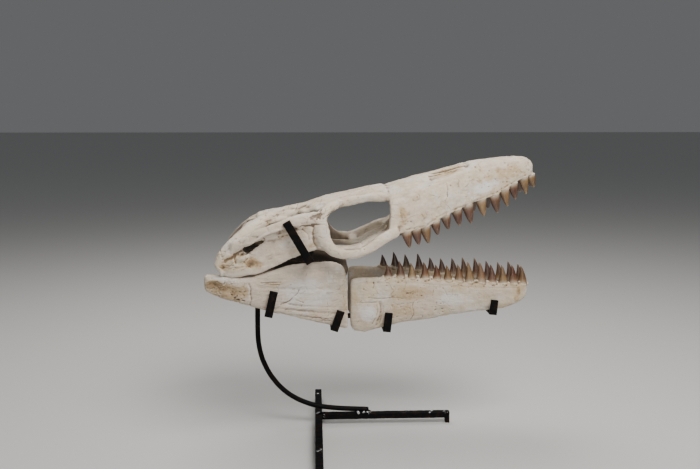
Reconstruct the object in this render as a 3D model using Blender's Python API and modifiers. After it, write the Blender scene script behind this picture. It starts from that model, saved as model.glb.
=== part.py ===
"""A mosasaur's fossil skull, jaws agape, on its welded iron display stand.

Sizes are in millimetres in the tables and become metres in the meshes. X runs from the jaw joints to
the snout, Y to the animal's left and Z up. The origin is on the floor, below the middle of the whole.
The tables measure Y from the skull's own midplane.
"""

import math

import bmesh
import bpy
from mathutils import Matrix, Vector

MM = 0.001
GAP = 0.4  # between bones that meet at a suture, and between welded bars
ROOT = 5.0  # how far a tooth's root goes into the jaw

# The snout, from the front of the orbits to the tip: x, roof, gum line, half width at the gums.
SNOUT = [
    (24, 488, 399, 92),
    (60, 500, 405, 88),
    (104, 512, 416, 80),
    (143, 522, 438, 71),
    (193, 535, 457, 58),
    (239, 541, 471, 45),
    (277, 544, 493, 33),
    (298, 543, 503, 26),
    (308, 539, 504, 20),
    (316, 531, 506, 12),
]
PALATE_VAULT = 7
SNOUT_REAR = 20  # where the snout's bones meet those around the orbits

# The roof between the orbits: x, top at the midline, half width.
FRONTAL = [
    (36, 489, 60),
    (10, 489, 62),
    (-36, 480, 60),
    (-68, 473, 68),
    (-90, 468, 84),
    (-112, 461, 84),
    (-127, 456, 56),
]
FRONTAL_DROP = 12
FRONTAL_THICK = 14

# The parietal table and the braincase below it: x, top, bottom, half width.
PARIETAL = [(-80, 470, 446, 42), (-123, 457, 432, 25), (-162, 448, 424, 20), (-201, 441, 418, 21), (-226, 436, 412, 24)]
BRAINCASE = [(-96, 446, 424, 20), (-120, 450, 392, 24), (-160, 442, 380, 28), (-200, 436, 376, 33), (-232, 428, 384, 30)]
CONDYLE = (-240, 0, 391)
CONDYLE_RADIUS = 12
FORAMEN = (-238, 0, 411)
FORAMEN_RADIUS = 7

# Bars of the right side. Each point is x, distance from the midplane, z, half height, half thickness.
JUGAL = [
    (40, 92, 409, 12, 9),
    (12, 103, 395, 11, 8),
    (-15, 109, 379, 11, 7.5),
    (-45, 112, 369, 11, 7.5),
    (-74, 112, 373, 12, 7.5),
    (-93, 110, 388, 14, 7.5),
    (-101, 108, 408, 16, 8),
    (-102, 105, 430, 17, 9),
]
POSTORBITAL = [(-72, 56, 457, 9, 15), (-84, 78, 450, 12, 15), (-97, 98, 439, 14, 13), (-112, 106, 431, 13, 10)]
TEMPORAL_BAR = [
    (-96, 100, 438, 13, 9),
    (-122, 107, 435, 13, 9),
    (-162, 112, 425, 13, 9.5),
    (-204, 114, 410, 13, 9.5),
    (-236, 113, 396, 13, 9),
    (-264, 109, 380, 13, 10),
]
PARIETAL_RAMUS = [
    (-196, 10, 428, 12, 22),
    (-214, 38, 419, 15, 22),
    (-236, 70, 403, 18, 20),
    (-259, 94, 384, 18, 14),
    (-279, 104, 364, 16, 12),
    (-286, 105, 349, 13, 12),
]
PAROCCIPITAL = [(-214, 18, 402, 11, 8), (-232, 48, 397, 9, 7), (-252, 78, 386, 9, 7), (-268, 98, 372, 10, 8)]
PTERYGOID = [
    (44, 26, 405, 8, 13),
    (4, 31, 389, 6, 12),
    (-34, 38, 370, 6, 12),
    (-84, 42, 370, 6, 11),
    (-126, 50, 372, 6.5, 9),
    (-186, 76, 361, 8, 7),
    (-238, 96, 346, 9, 7),
]
BASAL_STRUT = [(-146, 12, 388, 9, 9), (-142, 30, 380, 8, 8), (-138, 52, 370, 7, 8)]
ECTOPTERYGOID = [(-34, 36, 366, 6, 10), (-33, 72, 367, 6.5, 10), (-34, 108, 370, 7, 10)]

# The side wall under the temporal bar: x, upper edge, lower edge. It thins to nothing at neither end.
SIDE_WALL = [
    (-108, 430, 375),
    (-136, 428, 366),
    (-160, 420, 358),
    (-180, 410, 351),
    (-200, 398, 342),
    (-212, 385, 334),
    (-224, 376, 330),
    (-246, 374, 330),
]
SIDE_WALL_OUT = 105  # from the midplane to its middle
SIDE_WALL_THICK = 9
QUADRATE = (-264, 105, 356)
QUADRATE_RADII = (35, 13, 29)
QUADRATE_SOLE = ((-300, 332), (-232, 327))  # its lower face, x and z at both ends

NARIS_MIDDLE = (144, 19, 522)
NARIS_RADII = (42, 8, 11)
NARIS_PITCH = 15.5

# The front piece of the lower jaw: x, upper edge, lower edge, middle from the midplane, half thickness.
DENTARY = [
    (-46, 309, 222, 66.5, 9),
    (-40, 315, 211, 66, 11),
    (-18, 316, 208, 64, 11.5),
    (14, 316, 215, 59, 11.5),
    (50, 315, 223, 54, 11.5),
    (110, 309, 228, 43, 11),
    (151, 303, 234, 35, 11),
    (191, 299, 237, 27, 10.5),
    (234, 295, 239, 20, 10),
    (262, 293, 242, 15.5, 9.5),
    (290, 292, 251, 12, 9),
    (303, 291, 260, 10.8, 8.5),
    (309, 287, 270, 10.2, 7.5),
]
# The rear piece, from its square hind end to the gap: the same columns.
REAR_JAW = [
    (-319, 329, 305, 97, 10),
    (-315, 330, 297, 98, 11),
    (-289, 330, 286, 101, 13),
    (-252, 324, 276, 104, 14),
    (-234, 325, 270, 103, 13.5),
    (-197, 336, 257, 97, 11.5),
    (-160, 346, 247, 90, 10),
    (-114, 350, 233, 82, 9),
    (-82, 350, 224, 76, 9),
    (-66, 345, 219, 73, 9),
    (-58, 336, 217, 72, 8.5),
    (-52, 312, 217, 71, 7.5),
]

# Teeth are counted from the tip of the jaw: where each stands along it, and its height above the gum.
UPPER_TEETH_X = (311, 294, 271.5, 254, 233, 206, 179, 157, 135, 115, 95, 77, 59)
UPPER_CROWNS = (24, 31, 30, 32, 34, 32, 35, 30, 27, 26, 33, 30, 30)
LOWER_TEETH_X = (299, 280, 259, 236, 213, 189, 168, 145, 123, 99, 73, 50, 26)
LOWER_CROWNS = (35, 38, 36, 36, 40, 39, 34, 30, 28, 32, 28, 31, 25)
PREMAXILLARY_TEETH = 2
UPPER_RAKE, LOWER_RAKE = 14, -3  # degrees forwards at the gum
FIRST_RAKE = 24  # of the first upper tooth
UPPER_SPLAY, LOWER_SPLAY = 7, 4  # degrees outwards
TIP_BACK = 0.10  # how far the tip bends back, as a share of the crown
TOOTH_SIDES = 6
TOOTH_WAIST = (0.52, 0.74)  # share of the crown, share of the base

PLACE = (-1, 63, 0)  # where all of it is moved, so that the origin lies below the middle of the whole

# The stand.
BAR_WIDE, BAR_TALL, BAR_CLEAR = 14, 12, 11
CROSSBAR_BACK, CROSSBAR_FRONT = 150, 276  # its ends, on the left and right of the midplane
JUNCTION_X = -108
LEG_END_X = 160
FOOT_RUN = 9
ROD_RADIUS = 5
ROD_ROUTE = [
    (-228, 263),
    (-229, 215),
    (-229, 172),
    (-221, 136),
    (-206, 105),
    (-186, 79),
    (-166, 62),
    (-145, 50),
    (-122, 41),
    (-100, 36),
    (-64, 32),
    (-6, 29.4),
]
STRAP_WIDE, STRAP_THICK = 15, 4
# The straps that carry the bones are folded upwards at both ends. Each is x and z of its upper face,
# its outer faces from the midplane, the length of its tabs and its lean forwards in degrees.
CRADLES = {
    "hind": (-200, 255.6, 118, 50, 13),
    "mid_rear": (-77, 220.6, 90, 41, 19),
    "mid_front": (24, 214.4, 77, 38, 6),
    "fore": (237, 237.4, 41, 30, 6),
}
SPINE_SIDE = 9  # a square bar along the middle, over the cross straps
SPINE_ROUTE = [(-236, 276), (-190, 261), (-66, 227), (12, 220.4), (36, 220.4), (227, 243.4), (246, 243.4)]
HEAD_STRAP = (-124, 358, 127, 88, -30)
POST = (-126, 250, 350)  # x, foot and top
POST_SIDE = 10

VOXEL = 3.0  # how finely the skull's forms are grown together
SKULL_TRIANGLES = 2800
CHIP = 8.0  # the largest loose chip that a cut may leave

BONE = ("fossil_bone", (0.80, 0.75, 0.68, 1), 0.75, 0.0)
IRON = ("black_iron", (0.02, 0.02, 0.02, 1), 0.5, 0.8)


def material(look):
    name, colour, roughness, metallic = look
    made = bpy.data.materials.get(name)
    if made is None:
        made = bpy.data.materials.new(name)
        made.use_nodes = True
        shader = made.node_tree.nodes["Principled BSDF"]
        shader.inputs["Base Color"].default_value = colour
        shader.inputs["Roughness"].default_value = roughness
        shader.inputs["Metallic"].default_value = metallic
    return made


def new_object(name, mesh, collection, look=None):
    made = bpy.data.objects.new(name, mesh)
    collection.objects.link(made)
    if look:
        mesh.materials.clear()
        mesh.materials.append(material(look))
    return made


def helper(name, mesh, helpers):
    """A cutter or guide, which is never part of the model."""
    made = new_object(name, mesh, helpers)
    made.hide_render = True
    made.display_type = "WIRE"
    return made


def applied(obj):
    """The object's mesh with its modifiers applied. The object is removed."""
    bpy.context.view_layer.update()
    graph = bpy.context.evaluated_depsgraph_get()
    mesh = bpy.data.meshes.new_from_object(obj.evaluated_get(graph))
    mesh.transform(obj.matrix_world)
    bpy.data.objects.remove(obj)
    return mesh


def smooth_rows(rows, step):
    """Rows of numbers made denser by a Catmull-Rom curve through them, about step apart."""
    dense = []
    for i in range(len(rows) - 1):
        before, a, b = rows[max(i - 1, 0)], rows[i], rows[i + 1]
        after = rows[min(i + 2, len(rows) - 1)]
        length = math.dist(a[:3], b[:3]) if len(a) >= 5 else abs(b[0] - a[0])
        parts = max(1, round(length / step))
        for k in range(parts):
            t = k / parts
            dense.append([
                0.5 * (2 * q + (r - p) * t + (2 * p - 5 * q + 4 * r - s) * t * t + (3 * q - p - 3 * r + s) * t**3)
                for p, q, r, s in zip(before, a, b, after)
            ])
    dense.append(list(rows[-1]))
    return dense


def row_at(rows, x):
    """The row of a table at x, by straight interpolation."""
    ordered = sorted(rows)
    for a, b in zip(ordered, ordered[1:]):
        if x <= b[0]:
            share = max(0.0, (x - a[0]) / (b[0] - a[0]))
            return [p + (q - p) * share for p, q in zip(a, b)]
    return list(ordered[-1])


def loft(rings):
    """A closed mesh through rings of points in millimetres, which all have the same number of points."""
    bm = bmesh.new()
    loops = [[bm.verts.new(Vector(p) * MM) for p in ring] for ring in rings]
    for a, b in zip(loops, loops[1:]):
        for i in range(len(a)):
            j = (i + 1) % len(a)
            bm.faces.new((a[i], a[j], b[j], b[i]))
    bm.faces.new(loops[0])
    bm.faces.new(loops[-1])
    bmesh.ops.recalc_face_normals(bm, faces=bm.faces)
    mesh = bpy.data.meshes.new("loft")
    bm.to_mesh(mesh)
    bm.free()
    return mesh


def oval(x, middle_y, middle_z, half_y, half_z, power, count):
    """A superellipse across the X axis. Power 2 is an ellipse, and more is boxier."""
    ring = []
    for i in range(count):
        turn = 2 * math.pi * (i + 0.5) / count
        across, up = math.cos(turn), math.sin(turn)
        ring.append((
            x,
            middle_y + half_y * math.copysign(abs(across) ** (2 / power), across),
            middle_z + half_z * math.copysign(abs(up) ** (2 / power), up),
        ))
    return ring


def snout_ring(x, roof, gum, half, arc=14, floor=6):
    """An arch over a vaulted palate."""
    ring = []
    for i in range(arc + 1):
        turn = math.pi * i / arc
        across, up = math.cos(turn), math.sin(turn)
        ring.append((x, half * math.copysign(abs(across) ** 0.80, across), gum + (roof - gum) * up**0.86))
    for i in range(1, floor):
        y = -half + 2 * half * i / floor
        ring.append((x, y, gum + PALATE_VAULT * math.sin(math.pi * i / floor)))
    return ring


def roof_ring(x, top, half, count=8):
    """A crowned plate that droops to its sides."""
    upper = [half * (1 - 2 * i / count) for i in range(count + 1)]
    droop = [top - FRONTAL_DROP * (y / half) ** 2 for y in upper]
    return [(x, y, z) for y, z in zip(upper, droop)] + [
        (x, y * 0.94, z - FRONTAL_THICK) for y, z in reversed(list(zip(upper, droop)))
    ]


def bar(rows, side, step=9, count=10):
    """A tapered bar along a smooth line. side is -1 for the animal's right and 1 for its left."""
    dense = smooth_rows(rows, step)
    centres = [Vector((x, side * out, z)) for x, out, z, _, _ in dense]
    rings = []
    for i, centre in enumerate(centres):
        along = (centres[min(i + 1, len(centres) - 1)] - centres[max(i - 1, 0)]).normalized()
        up = along.cross(Vector((0, 1, 0)))
        if up.length < 0.5:  # a bar that runs across the skull
            up = Vector((0, 0, 1)).cross(along).cross(along)
        up.normalize()
        out = along.cross(up)
        half_up, half_out = dense[i][3], dense[i][4]
        ring = []
        for k in range(count):
            turn = 2 * math.pi * k / count
            ring.append(centre + up * half_up * math.sin(turn) + out * half_out * math.cos(turn))
        rings.append(ring)
    return loft(rings)


def ball(centre, radii, segments=16, rings=10):
    bm = bmesh.new()
    bmesh.ops.create_uvsphere(bm, u_segments=segments, v_segments=rings, radius=1)
    bmesh.ops.scale(bm, vec=Vector(radii) * MM, verts=bm.verts)
    bmesh.ops.translate(bm, vec=Vector(centre) * MM, verts=bm.verts)
    mesh = bpy.data.meshes.new("ball")
    bm.to_mesh(mesh)
    bm.free()
    return mesh


def block(low, high):
    """A box between two corners in millimetres."""
    bm = bmesh.new()
    bmesh.ops.create_cube(bm, size=1)
    low, high = Vector(low) * MM, Vector(high) * MM
    bmesh.ops.scale(bm, vec=high - low, verts=bm.verts)
    bmesh.ops.translate(bm, vec=(high + low) / 2, verts=bm.verts)
    mesh = bpy.data.meshes.new("block")
    bm.to_mesh(mesh)
    bm.free()
    return mesh


def joined(name, meshes, collection):
    """One object that holds several closed meshes, which may overlap."""
    bm = bmesh.new()
    for mesh in meshes:
        bm.from_mesh(mesh)
        bpy.data.meshes.remove(mesh)
    whole = bpy.data.meshes.new(name)
    bm.to_mesh(whole)
    bm.free()
    return new_object(name, whole, collection)


def boolean(obj, operation, other):
    modifier = obj.modifiers.new(operation.title(), "BOOLEAN")
    modifier.operation = operation
    modifier.object = other
    modifier.solver = "EXACT"
    return modifier


def fused(name, meshes, collection, voxel, triangles):
    """Overlapping forms grown into one skin, softened, and brought down to a number of triangles."""
    whole = joined(name, meshes, collection)
    remesh = whole.modifiers.new("Grow", "REMESH")
    remesh.mode = "VOXEL"
    remesh.voxel_size = voxel * MM
    soften = whole.modifiers.new("Soften", "SMOOTH")
    soften.factor = 0.5
    soften.iterations = 5
    mesh = applied(whole)
    thin = new_object(name, mesh, collection)
    decimate = thin.modifiers.new("Thin", "DECIMATE")
    decimate.ratio = triangles / (2 * len(mesh.polygons))
    decimate.use_collapse_triangulate = True
    return new_object(name, applied(thin), collection)


def side_wall(side):
    rings = []
    for x, top, bottom in smooth_rows(SIDE_WALL, 12):
        rings.append(oval(x, side * SIDE_WALL_OUT, (top + bottom) / 2, SIDE_WALL_THICK / 2, (top - bottom) / 2, 5, 12))
    return loft(rings)


def cranium_forms():
    """Every form of the skull without its jaws, as closed meshes that overlap where they grow together."""
    snout = [snout_ring(*row) for row in smooth_rows(SNOUT, 14)]
    forms = [loft(snout), loft([roof_ring(*row) for row in smooth_rows(FRONTAL, 16)])]
    for table in (PARIETAL, BRAINCASE):
        rings = []
        for x, top, bottom, half in smooth_rows(table, 14):
            rings.append(oval(x, 0, (top + bottom) / 2, half, (top - bottom) / 2, 2.6, 16))
        forms.append(loft(rings))
    forms.append(ball(CONDYLE, (CONDYLE_RADIUS,) * 3))
    for side in (-1, 1):
        for rows in (JUGAL, POSTORBITAL, TEMPORAL_BAR, PARIETAL_RAMUS, PAROCCIPITAL, PTERYGOID, BASAL_STRUT, ECTOPTERYGOID):
            forms.append(bar(rows, side))
        forms.append(side_wall(side))
        x, out, z = QUADRATE
        forms.append(ball((x, side * out, z), QUADRATE_RADII, 20, 12))
    return forms


def cranium_cutters(helpers):
    """The nostrils, the hole for the spinal cord, and the flat soles of the quadrates."""
    cutters = []
    for side in (-1, 1):
        naris = ball((0, 0, 0), NARIS_RADII, 12, 8)
        x, out, z = NARIS_MIDDLE
        place = Matrix.Translation(Vector((x, side * out, z)) * MM)
        naris.transform(place @ Matrix.Rotation(-math.radians(NARIS_PITCH), 4, "Y"))
        cutters.append(naris)
        (x0, z0), (x1, z1) = QUADRATE_SOLE
        low = min(side * 60, side * 160)
        sole = loft([
            [(x0 - 40, low, z0 - 60), (x0 - 40, low + 100, z0 - 60), (x0 - 40, low + 100, z0 + 3), (x0 - 40, low, z0 + 3)],
            [(x1, low, z0 - 60), (x1, low + 100, z0 - 60), (x1, low + 100, z1), (x1, low, z1)],
        ])
        cutters.append(sole)
    cutters.append(ball(FORAMEN, (14, FORAMEN_RADIUS, FORAMEN_RADIUS)))
    return helper("cut_cranium", applied(joined("cut_cranium", cutters, helpers)), helpers)


def without_chips(mesh):
    """The mesh without the tiny loose bodies that a cut can leave beside the bone."""
    bm = bmesh.new()
    bm.from_mesh(mesh)
    unseen = set(bm.verts)
    while unseen:
        body = {unseen.pop()}
        edge = list(body)
        while edge:
            vert = edge.pop()
            near = {link.other_vert(vert) for link in vert.link_edges} & unseen
            unseen -= near
            body |= near
            edge.extend(near)
        spans = [max(v.co[i] for v in body) - min(v.co[i] for v in body) for i in range(3)]
        if max(spans) < CHIP * MM:
            bmesh.ops.delete(bm, geom=list(body), context="VERTS")
    bm.to_mesh(mesh)
    bm.free()
    return mesh


def prism(columns, grow):
    """A closed solid through columns of x, low y, high y, low z and high z, grown by a margin."""
    rings = []
    for i, (x, y0, y1, z0, z1) in enumerate(columns):
        x += grow if i == len(columns) - 1 else -grow
        y0, y1, z0, z1 = y0 - grow, y1 + grow, z0 - grow, z1 + grow
        rings.append([(x, y0, z0), (x, y1, z0), (x, y1, z1), (x, y0, z1)])
    return loft(rings)


def carve(rest, name, columns, helpers, collection):
    """Takes what is inside the columns out of rest as a bone. What is left stays a suture's width away."""
    inside = helper("cut_" + name, prism(columns, 0), helpers)
    around = helper("cut_around_" + name, prism(columns, GAP), helpers)
    bone = new_object(name, rest.data.copy(), collection)
    boolean(bone, "INTERSECT", inside)
    boolean(rest, "DIFFERENCE", around)
    left = applied(rest)
    return new_object("rest", left, collection), new_object(name, without_chips(applied(bone)), collection, BONE)


def beside(side, near, far):
    """Low and high y of a space from near to far of the midplane on one side."""
    return tuple(sorted((side * near, side * far)))


def tooth(base, lean, crown, half_long, half_wide):
    """A cone that swells a little above the gum and whose tip bends back. lean is its way out of the gum."""
    lean = lean.normalized()
    back = Vector((-1, 0, 0))
    back = (back - lean * back.dot(lean)).normalized()
    out = lean.cross(back)
    rings = []
    for share, size in ((-ROOT / crown, 1.0), TOOTH_WAIST, (1.0, 0.07)):
        middle = base + lean * crown * share + back * crown * TIP_BACK * max(share, 0) ** 2
        ring = []
        for k in range(TOOTH_SIDES):
            turn = 2 * math.pi * k / TOOTH_SIDES
            ring.append(middle + back * half_long * size * math.cos(turn) + out * half_wide * size * math.sin(turn))
        rings.append(ring)
    return loft(rings)


def tooth_row(upper, side):
    """The teeth of one side of a jaw, from the tip back, as a list of meshes."""
    places, crowns = (UPPER_TEETH_X, UPPER_CROWNS) if upper else (LOWER_TEETH_X, LOWER_CROWNS)
    rake, splay, way = (UPPER_RAKE, UPPER_SPLAY, -1) if upper else (LOWER_RAKE, LOWER_SPLAY, 1)
    teeth = []
    for x, crown in zip(places, crowns):
        forwards = FIRST_RAKE if upper and not teeth else rake
        if upper:
            _, _, edge, half = row_at(SNOUT, x)
            out = half - 8
        else:
            _, edge, _, out, _ = row_at(DENTARY, x)
        half_long = 5.3 + 0.13 * crown
        lean = Vector((math.tan(math.radians(forwards)), side * math.tan(math.radians(splay)), way))
        teeth.append(tooth(Vector((x, side * out, edge)), lean, crown, half_long, half_long * 0.74))
    return teeth


def with_teeth(bone, teeth, collection):
    """The bone joined with its teeth into one solid."""
    name = bone.name
    cutter = joined("teeth_" + name, teeth, collection)
    boolean(bone, "UNION", cutter)
    mesh = applied(bone)
    bpy.data.objects.remove(cutter)
    return new_object(name, mesh, collection, BONE)


def cranium(bones, helpers):
    whole = fused("whole", cranium_forms(), bones, VOXEL, SKULL_TRIANGLES)
    boolean(whole, "DIFFERENCE", cranium_cutters(helpers))
    rest = new_object("rest", applied(whole), bones)
    tip = [
        (98, -9, 9, 503, 800),
        (184, -9, 9, 521, 800),
        (190, -200, 200, 521, 800),
        (282.6, -200, 200, 498, 800),
        (283, -200, 200, 300, 800),
        (500, -200, 200, 300, 800),
    ]
    rest, premaxilla = carve(rest, "premaxilla", tip, helpers, bones)
    pieces = {"premaxilla": premaxilla}
    for side, word in ((-1, "right"), (1, "left")):
        regions = (
            ("maxilla_", [
                (SNOUT_REAR + GAP, *beside(side, GAP / 2, 300), 300, 800),
                (400, *beside(side, GAP / 2, 300), 300, 800),
            ]),
            ("jugal_", [
                (-117, *beside(side, 96, 300), 300, 422),
                (-6, *beside(side, 96, 300), 300, 422),
                (2, *beside(side, 86, 300), 300, 422),
                (SNOUT_REAR, *beside(side, 86, 300), 300, 422),
            ]),
            ("pterygoid_", [
                (-224, *beside(side, 4, 98), 300, 367),
                (-190, *beside(side, 4, 98), 300, 376),
                (-125, *beside(side, 4, 95.6), 300, 380),
                (-50, *beside(side, 4, 95.6), 300, 380),
                (-20, *beside(side, 4, 95.6), 300, 395),
                (SNOUT_REAR, *beside(side, 4, 85.6), 300, 416),
            ]),
            ("temporal_arch_", [
                (-242, *beside(side, 88, 300), 300, 800),
                (-224, *beside(side, 80, 300), 300, 800),
                (-114, *beside(side, 80, 300), 300, 800),
                (-106, *beside(side, 62, 300), 300, 800),
                (-70, *beside(side, 62, 300), 300, 800),
            ]),
            ("suspensorium_", [(-400, *beside(side, 32, 300), 300, 800), (-150, *beside(side, 32, 300), 300, 800)]),
        )
        for name, columns in regions:
            rest, bone = carve(rest, name + word, columns, helpers, bones)
            pieces[name + word] = bone
    roof = [(-94, -300, 300, 300, 800), (60, -300, 300, 300, 800)]
    rest, pieces["frontal"] = carve(rest, "frontal", roof, helpers, bones)
    pieces["braincase"] = new_object("braincase", without_chips(applied(rest)), bones, BONE)
    for side, word in ((-1, "right"), (1, "left")):
        row = tooth_row(True, side)
        with_teeth(pieces["maxilla_" + word], row[PREMAXILLARY_TEETH:], bones)
    front = tooth_row(True, -1)[:PREMAXILLARY_TEETH] + tooth_row(True, 1)[:PREMAXILLARY_TEETH]
    with_teeth(pieces["premaxilla"], front, bones)


def lower_jaw(bones):
    for side, word in ((-1, "right"), (1, "left")):
        for name, table in (("dentary_", DENTARY), ("rear_jaw_", REAR_JAW)):
            rings = []
            for x, top, bottom, out, half in smooth_rows(table, 32):
                rings.append(oval(x, side * out, (top + bottom) / 2, half, (top - bottom) / 2, 3.2, 12))
            bone = new_object(name + word, loft(rings), bones, BONE)
            if table is DENTARY:
                with_teeth(bone, tooth_row(False, side), bones)


def rail(name, path, half_wide, half_tall, collection):
    """A square bar along a route in the middle plane, with mitred bends. The route is x and z."""
    points = [Vector((x, 0, z)) for x, z in path]
    rings = []
    for i, point in enumerate(points):
        before = (point - points[i - 1]).normalized() if i else None
        after = (points[i + 1] - point).normalized() if i < len(points) - 1 else None
        along = ((before or after) + (after or before)).normalized()
        up = Vector((-along.z, 0, along.x)) * half_tall / along.dot(after or before)
        side = Vector((0, half_wide, 0))
        rings.append([point + side + up, point - side + up, point - side - up, point + side - up])
    return new_object(name, loft(rings), collection, IRON)


def strap(name, x, z, out, length, lean, collection):
    """A flat bar across the midplane with a tab folded up at each end, all leaning by an angle."""
    half, thick = STRAP_WIDE / 2, STRAP_THICK
    place = Matrix.Translation(Vector((x, 0, z)) * MM) @ Matrix.Rotation(math.radians(lean), 4, "Y")
    pieces = {"_run": block((-half, -out + thick + GAP, -thick), (half, out - thick - GAP, 0))}
    for side, word in ((-1, "_right"), (1, "_left")):
        y0, y1 = beside(side, out - thick, out)
        pieces[word] = block((-half, y0, -thick), (half, y1, length - thick))
    for word, mesh in pieces.items():
        mesh.transform(place)
        new_object(name + word, mesh, collection, IRON)


def stand(iron):
    low, high, half = BAR_CLEAR, BAR_CLEAR + BAR_TALL, BAR_WIDE / 2
    crossbar = block((JUNCTION_X - half, -CROSSBAR_FRONT, low), (JUNCTION_X + half, CROSSBAR_BACK, high))
    new_object("stand_crossbar", crossbar, iron, IRON)
    leg = block((JUNCTION_X + half + GAP, -half, low), (LEG_END_X, half, high))
    new_object("stand_leg", leg, iron, IRON)
    feet = {
        "right": ((JUNCTION_X - half, -CROSSBAR_FRONT), (JUNCTION_X + half, -CROSSBAR_FRONT + FOOT_RUN)),
        "left": ((JUNCTION_X - half, CROSSBAR_BACK - FOOT_RUN), (JUNCTION_X + half, CROSSBAR_BACK)),
        "front": ((LEG_END_X - FOOT_RUN, -half), (LEG_END_X, half)),
    }
    for word, (corner, opposite) in feet.items():
        new_object("stand_foot_" + word, block((*corner, 0), (*opposite, low - GAP)), iron, IRON)
    rod = bar([(x, 0, z, ROD_RADIUS, ROD_RADIUS) for x, z in ROD_ROUTE], 1, 30, 8)
    new_object("stand_rod", rod, iron, IRON)
    rail("stand_spine", SPINE_ROUTE, SPINE_SIDE / 2, SPINE_SIDE / 2, iron)
    post_x, foot, top = POST
    rail("stand_post", [(post_x, foot), (post_x, top)], POST_SIDE / 2, POST_SIDE / 2, iron)
    for name, row in CRADLES.items():
        strap("cradle_" + name, *row, iron)
    strap("head_strap", *HEAD_STRAP, iron)


def main():
    for old in list(bpy.data.objects):
        bpy.data.objects.remove(old)
    model = bpy.data.collections.new("mosasaur_skull")
    helpers = bpy.data.collections.new("cutters")
    helpers.hide_render = True
    for collection in (model, helpers):
        bpy.context.scene.collection.children.link(collection)
    cranium(model, helpers)
    lower_jaw(model)
    stand(model)
    for piece in model.objects:
        piece.location = Vector(PLACE) * MM


main()
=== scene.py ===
import math
import random

import bpy
import numpy as np
from mathutils import Matrix, Vector


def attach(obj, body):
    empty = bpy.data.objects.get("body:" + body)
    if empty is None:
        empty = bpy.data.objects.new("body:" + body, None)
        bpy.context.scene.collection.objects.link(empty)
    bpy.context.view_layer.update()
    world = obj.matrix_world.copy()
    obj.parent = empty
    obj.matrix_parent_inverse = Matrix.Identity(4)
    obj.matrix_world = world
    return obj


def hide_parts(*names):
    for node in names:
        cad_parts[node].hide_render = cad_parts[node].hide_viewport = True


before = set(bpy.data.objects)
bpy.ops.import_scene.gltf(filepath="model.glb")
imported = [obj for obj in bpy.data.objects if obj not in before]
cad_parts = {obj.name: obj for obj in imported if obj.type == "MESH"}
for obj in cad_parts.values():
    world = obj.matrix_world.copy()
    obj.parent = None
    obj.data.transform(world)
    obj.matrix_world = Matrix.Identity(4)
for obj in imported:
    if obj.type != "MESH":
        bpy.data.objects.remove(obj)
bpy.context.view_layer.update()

mm = 0.001
skullShift = Vector((-1, 63, 0))  # from the skull's own axes to the model's, in mm
random.seed(41)


# Working with objects.

def deselectAll():
    if bpy.context.object and bpy.context.object.mode != "OBJECT":
        bpy.ops.object.mode_set(mode="OBJECT")
    bpy.ops.object.select_all(action="DESELECT")


def pick(*pieces):
    deselectAll()
    for piece in pieces:
        piece.select_set(True)
    bpy.context.view_layer.objects.active = pieces[0]


def applyModifier(piece, kind, **settings):
    pick(piece)
    modifier = piece.modifiers.new(kind.title(), kind)
    for key, value in settings.items():
        setattr(modifier, key, value)
    bpy.ops.object.modifier_apply(modifier=modifier.name)


def joinAs(name, pieces):
    pick(*pieces)
    if len(pieces) > 1:
        bpy.ops.object.join()
    piece = bpy.context.object
    piece.name = name
    piece.data.name = name
    return piece


def onWholeMesh(operation, **settings):
    bpy.ops.object.mode_set(mode="EDIT")
    bpy.ops.mesh.select_all(action="SELECT")
    operation(**settings)
    bpy.ops.object.mode_set(mode="OBJECT")


def placeIntoMesh(piece):
    pick(piece)
    bpy.ops.object.transform_apply(location=True, rotation=True, scale=True)
    return piece


def inModel(x, y, z):
    # a place on the skull's own axes, in mm, as a place in the model
    return (Vector((x, y, z)) + skullShift) * mm


def nodeCopy(nodes, name):
    # the CAD nodes' own shapes, merged into one mesh to work on
    copies = []
    for node in nodes:
        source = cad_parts[node]
        copy = source.copy()
        copy.data = source.data.copy()
        copy.parent = None
        copy.matrix_world = source.matrix_world
        bpy.context.scene.collection.objects.link(copy)
        for key in list(copy.keys()):
            del copy[key]
        copies.append(copy)
    piece = joinAs(name, copies)
    placeIntoMesh(piece)
    piece.data.materials.clear()
    onWholeMesh(bpy.ops.mesh.remove_doubles, threshold=0.00002)
    return piece


def readArray(mesh, part, key, width):
    values = np.empty(len(getattr(mesh, part)) * width, np.float32 if width != 2 else np.int32)
    getattr(mesh, part).foreach_get(key, values)
    return values.reshape(-1, width)


def readPoints(piece):
    # in mm, on the skull's own axes
    return readArray(piece.data, "vertices", "co", 3).astype(float) / mm - np.array(skullShift)


def writePoints(piece, points):
    piece.data.vertices.foreach_set("co", ((points + np.array(skullShift)) * mm).astype(np.float32).ravel())
    piece.data.update()


def evened(points, edges, rounds, factors):
    # each point moves towards the middle of its neighbours, or away from it
    count = len(points)
    a, b = edges[:, 0], edges[:, 1]
    share = 1 / np.maximum(np.bincount(edges.ravel(), minlength=count), 1)
    for _ in range(rounds):
        for factor in factors:
            total = np.empty_like(points)
            for axis in range(points.shape[1]):
                column = points[:, axis]
                total[:, axis] = np.bincount(a, column[b], count) + np.bincount(b, column[a], count)
            points = points + factor * (total * share[:, None] - points)
    return points


def fair(piece, rounds, factors=(0.5, -0.53)):
    # takes the facets off without making thin bars thinner
    edges = readArray(piece.data, "edges", "vertices", 2)
    writePoints(piece, evened(readPoints(piece), edges, rounds, factors))


def grownTogether(piece, voxel, rounds):
    applyModifier(piece, "REMESH", mode="VOXEL", voxel_size=voxel * mm, adaptivity=0)
    fair(piece, rounds)


def shadeSmooth(piece):
    pick(piece)
    bpy.ops.object.shade_smooth()


def finishPiece(piece, slot, material, *nodes):
    piece.data.materials.clear()
    piece.data.materials.append(material)
    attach(piece, "root")
    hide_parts(*nodes)
    print("made", piece.name, len(piece.data.polygons), "faces")


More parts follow.
